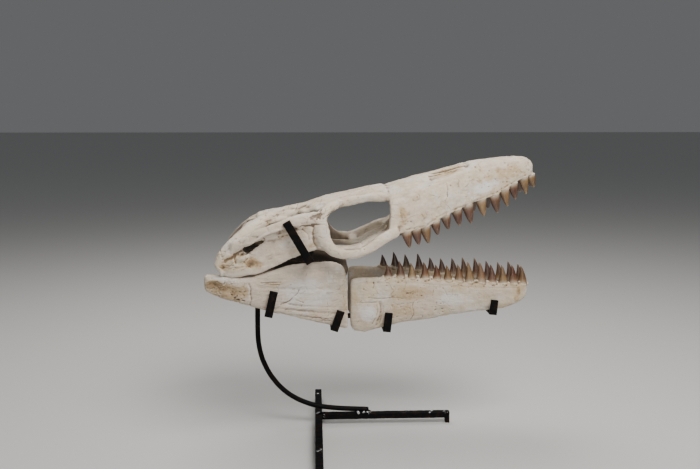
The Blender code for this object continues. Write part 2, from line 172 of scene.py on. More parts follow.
def ellipsoid(place, radii, pitch=0, segments=16, rings=10):
    bpy.ops.mesh.primitive_uv_sphere_add(
        segments=segments, ring_count=rings, radius=mm, location=inModel(*place),
        rotation=(0, math.radians(-pitch), 0), scale=radii,
    )
    return bpy.context.object


def eased(value, low, high):
    # 0 below low, 1 above high, smooth between
    share = np.clip((value - low) / (high - low), 0, 1)
    return share * share * (3 - 2 * share)


def valueAt(line, x):
    # a height read off a line of (x, height) points
    xs, heights = zip(*line)
    return np.interp(x, xs, heights)


# Carving and painting a bone.

class Surface:
    # a bone's points and normals, in mm on the skull's own axes, and the pushes gathered for it
    def __init__(self, piece):
        self.piece = piece
        self.points = readPoints(piece)
        self.normals = readArray(piece.data, "vertices", "normal", 3).astype(float)
        self.push = np.zeros(len(self.points))

    def face(self, side, inner=False):
        # 1 on the outer or inner face of one side's bone, 0 on faces that look the other way
        facing = self.normals[:, 1] * (-side if inner else side)
        low, high = (0.1, 0.5) if inner else (-0.3, 0.15)
        return eased(facing, low, high) * (self.points[:, 1] * side > 2)

    def nearRoute(self, route, some=slice(None)):
        # distance to a line of points, which are (x, z) as seen from the side, or (x, y, z)
        here = self.points[some][:, (0, 2)] if len(route[0]) == 2 else self.points[some]
        nearest = np.full(len(here), 1e9)
        for start, end in zip(route, route[1:]):
            a, b = np.array(start, float), np.array(end, float)
            along = np.clip((here - a) @ (b - a) / ((b - a) @ (b - a)), 0, 1)
            nearest = np.minimum(nearest, np.linalg.norm(here - a - along[:, None] * (b - a), axis=1))
        return nearest

    def line(self, route, width, side, inner=False):
        # 1 along a line and 0 from its width outwards
        return (1 - eased(self.nearRoute(route), 0, width)) * self.face(side, inner)

    def lineAcross(self, route, width):
        # the same for a line of (x, y, z), whichever way the bone faces
        return 1 - eased(self.nearRoute(route), 0, width)

    def oval(self, place, radii, side, turn=0, inner=False, soft=1.0):
        # 1 in the middle of an oval and 0 outside it
        dx, dz = self.points[:, 0] - place[0], self.points[:, 2] - place[1]
        c, s = math.cos(math.radians(turn)), math.sin(math.radians(turn))
        away = np.hypot((dx * c + dz * s) / radii[0], (dz * c - dx * s) / radii[1])
        return (1 - eased(away, 1 - soft, 1)) * self.face(side, inner)

    def pits(self, count, low, high, sizes, depth, side, draw):
        # small holes strewn over an area of a side's face, low and high being (x, z)
        face = self.face(side)
        for _ in range(count):
            x, z = draw.uniform(low[0], high[0]), draw.uniform(low[1], high[1])
            size, stretch = draw.uniform(*sizes), draw.uniform(1, 1.8)
            away = np.hypot((self.points[:, 0] - x) / stretch, self.points[:, 2] - z)
            self.push -= draw.uniform(0.4, 1) * depth * (1 - eased(away, 0.2 * size, size)) * face

    def cracks(self, count, low, high, lengths, depth, pitch, side, draw):
        # short crooked cracks strewn over an area, running roughly along the bone
        face = self.face(side)
        for _ in range(count):
            x, z = draw.uniform(low[0], high[0]), draw.uniform(low[1], high[1])
            length = draw.uniform(*lengths)
            turn = math.radians(pitch + draw.choice((0, 0, 0, 0, 0, 0, 60)) + draw.gauss(0, 16))
            route = [(x, z)]
            for _ in range(3):
                turn += draw.gauss(0, 0.35)
                x, z = x + math.cos(turn) * length / 3, z + math.sin(turn) * length / 3
                route.append((x, z))
            near = np.nonzero(np.hypot(self.points[:, 0] - x, self.points[:, 2] - z) < length + 4)[0]
            width = draw.uniform(1.3, 2.2)
            away = self.nearRoute(route, near)
            self.push[near] -= draw.uniform(0.5, 1) * depth * (1 - eased(away, 0, width)) * face[near]

    def carve(self, marks, side, inner=False):
        for where, size, height, *turn in marks:
            if isinstance(where, tuple):
                self.push += height * self.oval(where, size, side, *turn)
            elif len(where[0]) == 2:
                self.push += height * self.line(where, size, side, inner)
            else:
                mirrored = [(x, side * out, z) for x, out, z in where]
                self.push += height * self.lineAcross(mirrored, size)

    def make(self):
        writePoints(self.piece, self.points + self.normals * self.push[:, None])
        low, high = round(self.push.min(), 1), round(self.push.max(), 1)
        print("carved", self.piece.name, "from", low, "to", high, "mm")

    def keep(self, name, values):
        mark = self.piece.data.attributes.new(name, "FLOAT", "POINT")
        mark.data.foreach_set("value", np.asarray(values, np.float32))


def paint(piece, spots, sides, seats=()):
    # keeps, point by point, where the bone is stained, where it is filled with plaster, where it is hollow,
    # and where shade is painted on it: on undersides, inner faces, round the teeth and at the dark spots
    surface = Surface(piece)
    depth = hollows(surface, 14)
    layers = {key: np.zeros(len(surface.points)) for key in ("stain", "plaster", "dark", "rosy", "inner")}
    # painted shade: faces that look down are darkened
    layers["dark"] += 0.3 * eased(-surface.normals[:, 2], 0.05, 0.9)
    for side in sides:
        # painted shade, with some stain, on faces turned towards the middle; the shade spots deepen it or,
        # below zero, take it away
        inner = surface.face(side, True)
        for where, radii, strength, *turn in spots["shade"]:
            inner = inner + strength * surface.oval(where, radii, side, *turn, inner=True, soft=0.5)
        layers["inner"] = np.maximum(layers["inner"], inner)
        for key in ("stain", "plaster", "dark", "rosy"):
            for where, radii, strength, *turn in spots[key]:
                spot = strength * surface.oval(where, radii, side, *turn, soft=0.7)
                layers[key] = np.maximum(layers[key], spot)
    for base, _, crown in seats:
        away = np.linalg.norm(surface.points - np.array(base), axis=1)
        layers["stain"] = np.maximum(layers["stain"], 0.5 * (1 - eased(away, 0.25 * crown, 0.6 * crown)))
        # a painted shade ring round each tooth's base, where it meets the bone
        layers["dark"] = np.maximum(layers["dark"], 0.3 * (1 - eased(np.abs(away - 0.27 * crown), 0, 3)))
    surface.keep("hollow", depth)
    for key, values in layers.items():
        surface.keep(key, values)


def weather(piece, size, strength, stretch=1, pitch=0, offset=0, **settings):
    # pushes the surface in and out by a cloud pattern, which may be drawn out along the bone
    texture = bpy.data.textures.new("clouds", "CLOUDS")
    texture.noise_scale = size * mm
    for key, value in settings.items():
        setattr(texture, key, value)
    guide = bpy.data.objects.new("guide", None)
    bpy.context.scene.collection.objects.link(guide)
    guide.scale = (stretch, 1, 1)
    guide.rotation_euler = (0, math.radians(-pitch), 0)
    guide.location = (offset * mm, 0, 0)
    bpy.context.view_layer.update()
    applyModifier(
        piece, "DISPLACE", texture=texture, texture_coords="OBJECT", texture_coords_object=guide,
        strength=strength * mm, mid_level=0.5,
    )
    bpy.data.objects.remove(guide)
    bpy.data.textures.remove(texture)


def thinTo(piece, most):
    piece.data.calc_loop_triangles()
    count = len(piece.data.loop_triangles)
    if count > most:
        applyModifier(piece, "DECIMATE", ratio=most / count)


def dressBone(piece, form, sides, seats, seed):
    # carves, weathers and thins a grown bone, and keeps where its looks change
    surface = Surface(piece)
    draw = random.Random(seed)
    for side in sides:
        surface.carve(form["marks"], side)
        surface.carve(form["inside"], side, True)
        for row in form["pits"]:
            surface.pits(*row, side, draw)
        for row in form["cracks"]:
            surface.cracks(*row, form["pitch"], side, draw)
    surface.make()
    for size, strength, stretch, offset, beside in form["clouds"]:
        weather(piece, size, strength, stretch, form["pitch"], offset + beside * sides[-1])
    thinTo(piece, form["most"])
    shadeSmooth(piece)
    paint(piece, form, sides, seats)


def hollows(surface, rounds):
    # how far each point lies below its surroundings, in mm, or above them below zero
    edges = readArray(surface.piece.data, "edges", "vertices", 2)
    level = evened(surface.points, edges, rounds, (0.7,))
    return ((level - surface.points) * surface.normals).sum(axis=1)


# The jaws' edges, where the teeth stand.

upperGum = [
    (24, 399), (60, 405), (104, 416), (143, 438), (193, 457), (239, 471), (277, 493), (298, 503),
    (316, 506),
]
upperReach = [
    (24, 92), (60, 88), (104, 80), (143, 71), (193, 58), (239, 45), (277, 33), (298, 26), (308, 20),
    (316, 12),
]
lowerGum = [
    (-46, 309), (-18, 316), (50, 315), (110, 309), (151, 303), (191, 299), (262, 293), (303, 291),
    (309, 287),
]
lowerReach = [
    (-46, 66.5), (14, 59), (50, 54), (110, 43), (151, 35), (191, 27), (234, 20), (262, 15.5), (303, 10.8),
    (309, 10.2),
]

teeth = {
    "upperPlaces": (311, 294, 271.5, 254, 233, 206, 179, 157, 135, 115, 95, 77, 59),
    "upperCrowns": (24, 31, 30, 32, 34, 32, 35, 30, 27, 26, 33, 30, 30),
    "lowerPlaces": (299, 280, 259, 236, 213, 189, 168, 145, 123, 99, 73, 50, 26),
    "lowerCrowns": (35, 38, 36, 36, 40, 39, 34, 30, 28, 32, 28, 31, 25),
    "upperRake": 11, "lowerRake": 3, "firstRake": 17,  # degrees forwards
    "upperSplay": 7, "lowerSplay": 4,  # degrees outwards
    "halfWidth": ((6.2, 0.13), (5.0, 0.12)),  # of an upper or lower tooth, and its growth with the crown
    "from": (46, 12),  # where the upper and lower rows begin
    "snoutEnd": 316,
    "lowerForwards": 1.5,
    "sunk": (4.0, 2.5),  # how deep the swelling under an upper or lower tooth lies
    "insideRim": 8,  # how far the upper teeth stand in from the snout's side
    "tipBack": (-0.02, 0.17),  # how far the tip of an upper or lower tooth bends back, as a share of the crown
}


def toothSeats(upper, side):
    # where each tooth of a row leaves the gum, the way it points, and its height
    word = "upper" if upper else "lower"
    seats = []
    for x, crown in zip(teeth[word + "Places"], teeth[word + "Crowns"]):
        if upper:
            z, out = valueAt(upperGum, x), valueAt(upperReach, x) - teeth["insideRim"]
        else:
            x = x + teeth["lowerForwards"]
            z, out = valueAt(lowerGum, x), valueAt(lowerReach, x)
        rake = teeth["firstRake"] if upper and not seats else teeth[word + "Rake"]
        rise = -1 if upper else 1
        splay = math.tan(math.radians(teeth[word + "Splay"]))
        lean = Vector((math.tan(math.radians(rake)), side * splay, rise))
        seats.append((Vector((x, side * out, z)), lean.normalized(), crown))
    return seats


def toothHalf(upper, crown):
    # half the tooth's width along the jaw, where it leaves the gum
    least, growth = teeth["halfWidth"][0 if upper else 1]
    return least + growth * crown


def withoutTeeth(piece, upper):
    # the plain teeth of the CAD shape are pressed flat into the jaw's edge
    points = readPoints(piece)
    x = points[:, 0]
    if upper:
        gum = valueAt(upperGum, x)
        beyond = (x > teeth["from"][0]) & (points[:, 2] < gum - 0.4)
        below = gum - points[:, 2]
        points[beyond, 0] -= (below * math.tan(math.radians(teeth["upperRake"])))[beyond]
        points[beyond, 2] = valueAt(upperGum, points[beyond, 0]) + 0.5
        points[:, 0] = np.minimum(points[:, 0], teeth["snoutEnd"])
    else:
        gum = valueAt(lowerGum, x)
        beyond = (x > teeth["from"][1]) & (points[:, 2] > gum + 0.4)
        points[beyond, 2] = gum[beyond] - 0.5
    writePoints(piece, points)


def toothSockets(upper, side):
    # the swollen bone that a tooth stands on, and the lumps between the lower teeth
    draw = random.Random(29 + side)
    swellings = []
    for base, lean, crown in toothSeats(upper, side):
        half = toothHalf(upper, crown) + 1
        sunk = base - lean * teeth["sunk"][0 if upper else 1]
        swellings.append(ellipsoid(sunk, (half, half * 0.8, 6.0)))
        for turn in () if upper else (-1, 1):
            aside = turn * half * draw.uniform(0.5, 1.3)
            lump = base + Vector((aside, -side * draw.uniform(0, 3), draw.uniform(-1.5, 1)))
            swellings.append(ellipsoid(lump, (draw.uniform(3.5, 6), 4.0, draw.uniform(2.5, 4.5))))
    return swellings


# The skull without its lower jaws.

cranium = {
    "voxels": (3.0, 1.25),
    "evening": (45, 4),
    "most": 196000,
    "pitch": 13,  # of the grain
    # size, strength, stretch, offset, and what is added to it on the left and taken off on the right
    "clouds": ((32, 2.2, 1, 0, 0), (9, 1.9, 1.8, 90, 0), (3.4, 0.8, 4, 40, 0)),
    # how far forwards the far orbit's front edge and the wall behind it go. Each span is where that sets in
    # or fades out: across, upwards, at the roof, and along the skull.
    "orbitForwards": 24,
    "orbitSpans": {
        "out": (-66, -30), "up": (400, 432), "roof": (460, 478), "front": (-25, 8), "back": (26, 92),
    },
    # the orbit's rim, the side wall's foot and the slit: place, radii, move, and the side, 0 being both
    "nudges": [
        ((-81, 436), (13, 15), (-5, 3.5), 0), ((34, 446), (16, 30), (7, 0), 0),
        ((16, 470), (18, 13), (2, -5), 0), ((-38, 386), (36, 11), (0, -4.5), -1),
        ((-48, 396), (30, 15), (0, 6), 1), ((-272, 331), (42, 11), (0, -4.2), 0),
        ((-303, 333), (15, 12), (10, 0), 0), ((-225, 383), (26, 15), (-10, -1), 0),
        ((-184, 345), (26, 14), (0, -4), 0),
    ],
    # fills the bone between the parietal and the arch beside it, mirrored: place, radii, pitch
    "flank": [
        ((-206, 34, 420), (46, 22, 10), 10), ((-240, 66, 400), (30, 22, 13), 32),
        ((-150, 22, 434), (50, 16, 10), 6), ((-128, 34, 440), (18, 24, 9), 6),
        ((-289, 108, 347), (12, 9, 17), -20),
    ],
    # where, width or radii, height, and an oval's turn. A place (x, z) makes an oval, a list of them a line
    # as seen from the side, and a list of (x, y, z) a line whichever way the bone faces.
    "marks": [
        ([(-104, 99, 449), (-126, 103, 446), (-146, 100, 441), (-164, 107, 437)], 6, -4.5),
        ([(-164, 107, 437), (-181, 111, 430), (-204, 112, 421), (-226, 112, 412),
            (-252, 110, 399)], 8, -5.5),
        ([(-148, 415), (-163, 414), (-178, 409), (-193, 405), (-204, 401), (-222, 390),
            (-240, 380)], 5.5, -8.0),
        ([(-118, 420), (-124, 422), (-131, 421), (-137, 422), (-144, 418), (-149, 415)], 2.6, -2.2),
        ([(-240, 380), (-250, 374), (-261, 369), (-268, 363), (-278, 359)], 5, -4.0),
        ([(-262, 371), (-261, 362), (-259, 354)], 3, -1.8), ((-241, 372), (15, 5), -8.0, 24),
        ([(-240, 385), (-222, 395), (-204, 407), (-193, 412), (-178, 417), (-163, 422)], 5, 2.2),
        ((-246, 364), (17, 7.5), 5.0, 22), ((-229, 352), (20, 10), -1.6, 15), ((-283, 347), (7, 6), -2.0),
        ((-109, 441), (20, 10), -5.0, 25), ((-88, 447), (12, 7), 1.6, 60),
        ([(-116, 421), (-118, 406), (-116, 391), (-109, 378)], 4, -1.4),
        ([(-119, 424), (-105, 424.5), (-92, 423)], 3, -1.6), ((-104, 412), (9, 9), 1.2),
        ([(108, 29, 513), (128, 28, 519), (144, 27, 524), (160, 25.5, 529), (180, 23, 535)], 9, -5.0),
        ([(110, 504.5), (127, 510), (149, 517.5), (166, 522.5), (181, 528)], 9, -3.4),
        ([(60, 411), (80, 413), (96, 417), (106, 424), (122, 434), (136, 441), (150, 446),
            (177, 454)], 3.2, -1.3),
        ([(177, 454), (200, 464), (236, 476), (270, 494), (296, 508)], 3.2, -0.9),
        ([(137, 494), (139, 484), (137.5, 478), (138, 470)], 1.9, -1.8), ((145, 491), (3.2, 2.6), -2.4),
        ((161, 490), (2.0, 1.8), -1.8), ((256, 532), (3.0, 2.2), -1.8), ((262, 528), (2.2, 2.6), -1.8),
        ((220, 487), (2.6, 2.0), -2.2), ((305, 517), (3.4, 3.0), -1.6), ((242, 518), (9, 7), -0.9),
        ((205, 505), (26, 16), 1.0, 15), ((60, 440), (16, 26), -1.2), ((-23, 378), (2.4, 1.6), -1.6),
        ((-19, 384), (1.8, 1.8), -1.4), ((-32, 468), (5, 2.4), -1.6, 10), ((-51, 463), (4, 2.2), -1.4, 10),
        ([(24, 0, 490), (26, 30, 488), (28, 62, 476), (27, 80, 458)], 7, -1.0),
        ([(319, 0, 515), (318, 10, 515), (312, 19, 514)], 4.5, -2.6),
    ],
    "inside": [],
    # where, radii, strength, and a turn
    "stain": [
        ((-232, 353), (22, 13), 1.1, 12), ((-219, 350), (16, 11), 0.9, -20),
        ((-262, 362), (26, 14), 0.8, 20), ((-282, 350), (20, 16), 0.8), ((-255, 345), (26, 10), 0.45),
        ((-292, 372), (9, 18), 0.3, 20), ((-121, 384), (9, 14), 0.5), ((146, 516), (46, 9), 0.75, 17),
        ((96, 440), (30, 24), 0.3), ((205, 520), (30, 9), 0.4, 12), ((-108, 440), (26, 12), 0.15, 25),
        ((-112, 394), (8, 18), 0.4), ((51, 438), (13, 32), 0.85), ((242, 518), (13, 10), 0.6),
        ((262, 512), (46, 22), 0.65, 20), ((222, 508), (20, 12), 0.5), ((195, 500), (24, 20), 0.3),
        ((70, 474), (26, 22), 0.3), ((-40, 466), (46, 7), 0.4, 12), ((300, 512), (18, 18), 0.4),
        ((-190, 420), (60, 9), 0.35, 18), ((-60, 376), (40, 7), 0.25), ((116, 430), (60, 9), 0.35, 20),
    ],
    "shade": [((-215, 378), (85, 50), 1.0, 25), ((-5, 405), (75, 42), -1.6, 20)],
    "rosy": [
        ((72, 452), (62, 46), 1.0, 10), ((-121, 386), (16, 18), 1.0), ((-40, 470), (60, 14), 0.7, 12),
        ((-56, 362), (44, 14), 0.6),
    ],
    # painted shade in the grooves, the pits, the slit, the naris and under the arch
    "dark": [
        ((-240, 373), (20, 5), 0.9, 24), ((-232, 379), (24, 9), 0.3, 27), ((-200, 402), (42, 3.2), 0.6, 22),
        ((-110, 438), (28, 13), 0.68, 20), ((-122, 424), (30, 3.5), 0.5), ((-262, 364), (11, 6), 0.35, 20),
        ((-281, 355), (12, 5), 0.4, 25), ((-116, 398), (3, 20), 0.2), ((145, 518), (44, 10), 0.34, 18),
        ((117, 506), (14, 6), 0.5, 17), ((-190, 405), (50, 3.5), 0.5, 17), ((-196, 425), (60, 4), 0.5, 14),
        ((-134, 446), (38, 6), 0.32, 12),
    ],
    "plaster": [
        ((210, 486), (36, 17), 1.3, 15), ((236, 497), (14, 12), 1.0), ((150, 478), (34, 20), 0.6, 15),
        ((-160, 388), (46, 24), 0.7, 18), ((-96, 404), (14, 20), 0.5), ((-230, 430), (40, 20), 0.5, 30),
    ],
    "pits": [  # count, low corner, high corner, sizes, depth
        (40, (178, 478), (300, 534), (1.4, 3.4), 0.9), (6, (178, 484), (300, 534), (1.4, 3.0), 1.6),
        (20, (40, 412), (180, 500), (0.9, 2.0), 0.6), (16, (-118, 434), (-96, 448), (1.4, 3.2), 1.8),
        (18, (-290, 338), (-236, 372), (1.2, 3.0), 1.5), (30, (-240, 400), (-60, 470), (1.0, 2.4), 1.2),
        (14, (-100, 365), (10, 400), (0.9, 1.8), 0.8), (26, (50, 404), (140, 440), (1.2, 2.6), 1.2),
        (30, (140, 440), (230, 478), (1.2, 2.6), 1.2), (26, (225, 468), (312, 512), (1.2, 2.6), 1.2),
    ],
    "cracks": [  # count, low corner, high corner, lengths, depth
        (12, (-300, 340), (-230, 400), (8, 22), 1.1), (16, (-240, 395), (-90, 455), (10, 30), 1.1),
        (12, (-292, 340), (-262, 366), (6, 16), 1.6), (6, (-210, 350), (-120, 400), (8, 26), 0.5),
        (8, (-60, 440), (20, 490), (8, 24), 0.8), (8, (30, 420), (180, 510), (6, 20), 0.6),
        (12, (180, 470), (305, 532), (5, 14), 0.9),
    ],
}


def shapeOrbits(piece):
    # draws the far orbit's front edge and the wall behind it forwards, so that the near orbit shows what
    # lies beyond, and nudges the rims, the side wall's foot and the slit
    points = readPoints(piece)
    spans = cranium["orbitSpans"]
    x, y, z = points.T
    far = eased(y, *spans["out"]) * eased(z, *spans["up"]) * (1 - eased(z, *spans["roof"]))
    along = eased(x, *spans["front"]) * (1 - eased(x, *spans["back"]))
    points[:, 0] += cranium["orbitForwards"] * far * along
    for place, radii, move, side in cranium["nudges"]:
        away = np.hypot((points[:, 0] - place[0]) / radii[0], (points[:, 2] - place[1]) / radii[1])
        share = np.exp(-away ** 2) * eased(points[:, 1] * side if side else np.abs(points[:, 1]), 30, 60)
        points[:, 0] += move[0] * share
        points[:, 2] += move[1] * share
    writePoints(piece, points)


def makeCranium():
    print("growing the cranium")
    nodes = ["premaxilla", "frontal", "braincase"]
    for word in ("right", "left"):
        for kind in ("maxilla", "jugal", "temporal_arch", "suspensorium", "pterygoid"):
            nodes.append(kind + "_" + word)
    piece = nodeCopy(nodes, "cranium")
    withoutTeeth(piece, True)
    extra = []
    for side in (-1, 1):
        for (x, out, z), radii, pitch in cranium["flank"]:
            extra.append(ellipsoid((x, side * out, z), radii, pitch))
    piece = joinAs("cranium", [piece] + extra)
    placeIntoMesh(piece)
    grownTogether(piece, cranium["voxels"][0], cranium["evening"][0])
    shapeOrbits(piece)
    swellings = toothSockets(True, -1) + toothSockets(True, 1)
    piece = joinAs("cranium", [piece] + swellings)
    placeIntoMesh(piece)
    grownTogether(piece, cranium["voxels"][1], cranium["evening"][1])
    dressBone(piece, cranium, (-1, 1), toothSeats(True, -1) + toothSeats(True, 1), 5)
    return piece, nodes


# The lower jaw.

dentary = {
    "voxels": (3.0, 1.0),
    "evening": (45, 3),
    "most": 150000,
    "pitch": -4,
    "clouds": ((30, 1.6, 2, 0, 30), (8, 1.5, 2, 70, 0), (2.8, 0.7, 5, 20, 0)),
    "marks": [
        ([(-2, 307), (-1, 303), (-3, 296)], 1.8, -1.6),
        ([(-12, 278), (-7, 277), (5, 275), (17, 274.5), (30, 276), (44, 275), (60, 273)], 2.2, -0.9),
        ((-21, 295), (2.4, 2.2), -1.6), ((64, 283), (5, 3), -1.6), ((83, 278), (2.4, 1.8), -2.0),
        ((92, 277), (3.0, 2.2), -2.0), ((69, 253), (2.0, 2.4), -1.2), ((-11, 246), (26, 24), 1.4),
        ([(10, 268), (13, 256), (12, 244), (8, 234), (4, 222)], 5, -1.9),
        ([(17, 260), (17, 248), (13, 236), (10, 226)], 3, -1.3),
        ([(4, 262), (6, 250), (2, 238), (-4, 226)], 2.4, -0.9),
        ([(-34, 269), (-16, 268), (4, 268)], 2.2, -1.0),
        ([(76, 264), (74, 256), (77, 248), (77, 240), (72, 230)], 1.8, -1.4), ((150, 268), (70, 26), 0.9),
        ([(-30, 306), (20, 305), (60, 304), (110, 299), (160, 292), (220, 286), (290, 283)], 3.5, -0.8),
    ],
    "inside": [([(-30, 240), (40, 244), (120, 252), (200, 256), (270, 262)], 9, -3.5)],
    "stain": [
        ((291, 278), (7, 18), 1.0), ((288, 262), (9, 12), 0.8), ((300, 284), (16, 12), 0.6),
        ((72, 282), (62, 22), 0.68), ((60, 250), (50, 20), 0.5, -10), ((-38, 262), (8, 44), 0.4),
        ((190, 290), (110, 9), 0.4, -4),
    ],
    "shade": [((60, 300), (150, 50), -0.75)],
    "rosy": [((80, 262), (70, 40), 0.7)],
    # painted shade in the grooves and by a pit
    "dark": [((10, 242), (9, 26), 0.3, -10), ((20, 277), (50, 2), 0.3), ((72, 284), (10, 5), 0.4)],
    "plaster": [((-11, 246), (28, 26), 1.0), ((160, 266), (80, 24), 0.8, -4), ((-26, 290), (16, 18), 0.5)],
    "pits": [
        (80, (20, 232), (140, 300), (1.0, 2.8), 1.3), (16, (140, 262), (300, 290), (0.8, 1.6), 0.6),
        (34, (0, 303), (150, 316), (1.2, 2.8), 1.5), (34, (150, 288), (305, 302), (1.2, 2.8), 1.5),
        (10, (-40, 215), (20, 305), (0.8, 1.4), 0.6),
    ],
    "cracks": [
        (22, (14, 228), (135, 298), (6, 22), 0.9), (5, (-38, 222), (10, 300), (6, 16), 0.7),
        (5, (140, 262), (300, 292), (6, 18), 0.5),
    ],
}
rearJaw = {
    "voxels": (3.0, 1.0),
    "evening": (45, 3),
    "most": 150000,
    "pitch": 6,
    "clouds": ((30, 1.6, 2, 0, 30), (8, 1.5, 2, 70, 0), (2.8, 1.0, 12, 20, 0)),
    "farForwards": 7,  # its far upper front corner stands forwards of the near one
    "marks": [
        ((-276, 303), (46, 17), -2.6, -4), ((-300, 314), (15, 9), -2.2),
        ([(-236, 315), (-232, 306), (-233, 296), (-231, 286), (-236, 272)], 3, -1.6),
        ([(-214, 315.5), (-206, 315), (-192, 315), (-178, 315)], 2.2, -1.5),
        ([(-208, 311.5), (-196, 311), (-180, 310)], 1.8, -1.3),
        ([(-144, 298), (-148, 291), (-153, 287), (-161, 279), (-168, 276), (-178, 273)], 2, -1.2),
        ([(-150, 280), (-143, 277), (-136, 274)], 1.8, -1.1), ((-289, 296), (2.2, 1.6), -2.2),
        ((-292, 291), (2.0, 1.8), -2.0), ((-262, 289), (2.6, 2.0), -2.8), ((-258, 293), (2.0, 2.4), -2.6),
        ((-255, 286), (3.0, 2.0), -2.8), ((-265, 281), (2.4, 1.8), -2.2), ((-257, 278), (2.6, 2.0), -2.6),
        ((-234, 274), (2.4, 2.0), -1.6), ((-159, 310), (1.6, 1.6), -1.4), ((-120, 300), (60, 40), 1.0),
        ([(-222, 309), (-180, 303), (-130, 300), (-70, 296)], 6.0, -1.1),
        ([(-210, 268), (-160, 262), (-110, 254), (-66, 248)], 4.0, -0.8),
        ([(-190, 280), (-150, 270), (-100, 264), (-64, 262)], 3.4, -0.7),
        ([(-180, 255), (-130, 246), (-90, 240)], 3.4, -0.7),
    ],
    "inside": [
        ([(-300, 300), (-240, 292), (-180, 280), (-120, 268), (-70, 260)], 10, -3.5),
        ([(-230, 316), (-170, 322), (-110, 322), (-80, 316)], 7, -2.0),
    ],
    "stain": [
        ((-300, 312), (24, 13), 1.7), ((-284, 306), (18, 11), 1.3), ((-274, 300), (50, 24), 0.85, -4),
        ((-258, 287), (14, 14), 1.0), ((-246, 300), (14, 20), 0.7), ((-190, 313), (26, 6), 0.45),
        ((-58, 280), (7, 60), 0.3),
    ],
    "shade": [((-150, 322), (130, 28), 0.9)],
    "rosy": [((-200, 280), (60, 30), 0.5)],
    # painted shade in the pits and grooves, and over the lower part where the jaw turns under
    "dark": [
        ((-259, 288), (8, 8), 0.5), ((-291, 294), (5, 4), 0.5), ((-233, 300), (2.5, 16), 0.3),
        ((-196, 313), (20, 2), 0.4), ((-200, 256), (80, 15), 0.42, -16), ((-110, 238), (70, 20), 0.42, -12),
        ((-140, 262), (60, 15), 0.3, -14),
    ],
    "plaster": [((-130, 290), (96, 56), 0.85), ((-292, 325), (30, 4), 0.9)],
    "pits": [
        (40, (-316, 292), (-240, 326), (1.0, 2.8), 1.4), (22, (-272, 272), (-244, 298), (1.0, 2.4), 1.8),
        (16, (-230, 240), (-60, 335), (0.8, 1.4), 0.6),
    ],
    "cracks": [(12, (-312, 290), (-240, 322), (6, 16), 1.1), (22, (-235, 236), (-64, 330), (14, 50), 0.55)],
}


def makeJawBone(kind, side, word):
    name = kind + "_" + word
    print("growing", name)
    piece = nodeCopy([name], name + "_bone")
    toothed = kind == "dentary"
    form = dentary if toothed else rearJaw
    if toothed:
        withoutTeeth(piece, False)
    grownTogether(piece, form["voxels"][0], form["evening"][0])
    if not toothed and side > 0:
        points = readPoints(piece)
        forwards = form["farForwards"] * eased(points[:, 0], -100, -60)
        points[:, 0] += forwards * eased(points[:, 2], 280, 310)
        writePoints(piece, points)
    if toothed:
        piece = joinAs(piece.name, [piece] + toothSockets(False, side))
        placeIntoMesh(piece)
    grownTogether(piece, form["voxels"][1], form["evening"][1])
    dressBone(piece, form, (side,), toothSeats(False, side) if toothed else (), 17 + side)
    return piece


# Teeth.

crown = {
    "sides": 22,
    "rings": (0.0, 0.1, 0.2, 0.32, 0.44, 0.56, 0.68, 0.79, 0.88, 0.95),
    "root": 0.28,  # share of the crown that stands in the bone
    "keel": 0.10,  # how far the cutting edges stand out
    "facets": 0.03,
    "taper": (0.60, 0.84),  # of an upper and a lower crown: how slowly they narrow
}


def makeCrown(taper):
    # one tooth, 1 tall and 1 from middle to edge at the gum, which the others are copied from
    deselectAll()
    whole = 1 + crown["root"]
    bpy.ops.mesh.primitive_cone_add(
        vertices=crown["sides"], radius1=1, radius2=0.4, depth=whole,
        location=(0, 0, whole / 2 - crown["root"]),
    )
    tooth = placeIntoMesh(bpy.context.object)
    bpy.ops.object.mode_set(mode="EDIT")
    for height in crown["rings"]:
        bpy.ops.mesh.select_all(action="SELECT")
        bpy.ops.mesh.bisect(plane_co=(0, 0, height), plane_no=(0, 0, 1))
    bpy.ops.object.mode_set(mode="OBJECT")
    for vert in tooth.data.vertices:
        rise = max(vert.co.z, 0)
        turn = math.atan2(vert.co.y, vert.co.x)
        keel = crown["keel"] * abs(math.cos(turn)) ** 10
        facet = crown["facets"] * math.cos(9 * turn) * (1 - rise)
        reach = (1 - rise) ** taper * (1 + keel + facet) + 0.045 * rise
        vert.co.x, vert.co.y = reach * math.cos(turn), reach * math.sin(turn) * 0.74
    return tooth


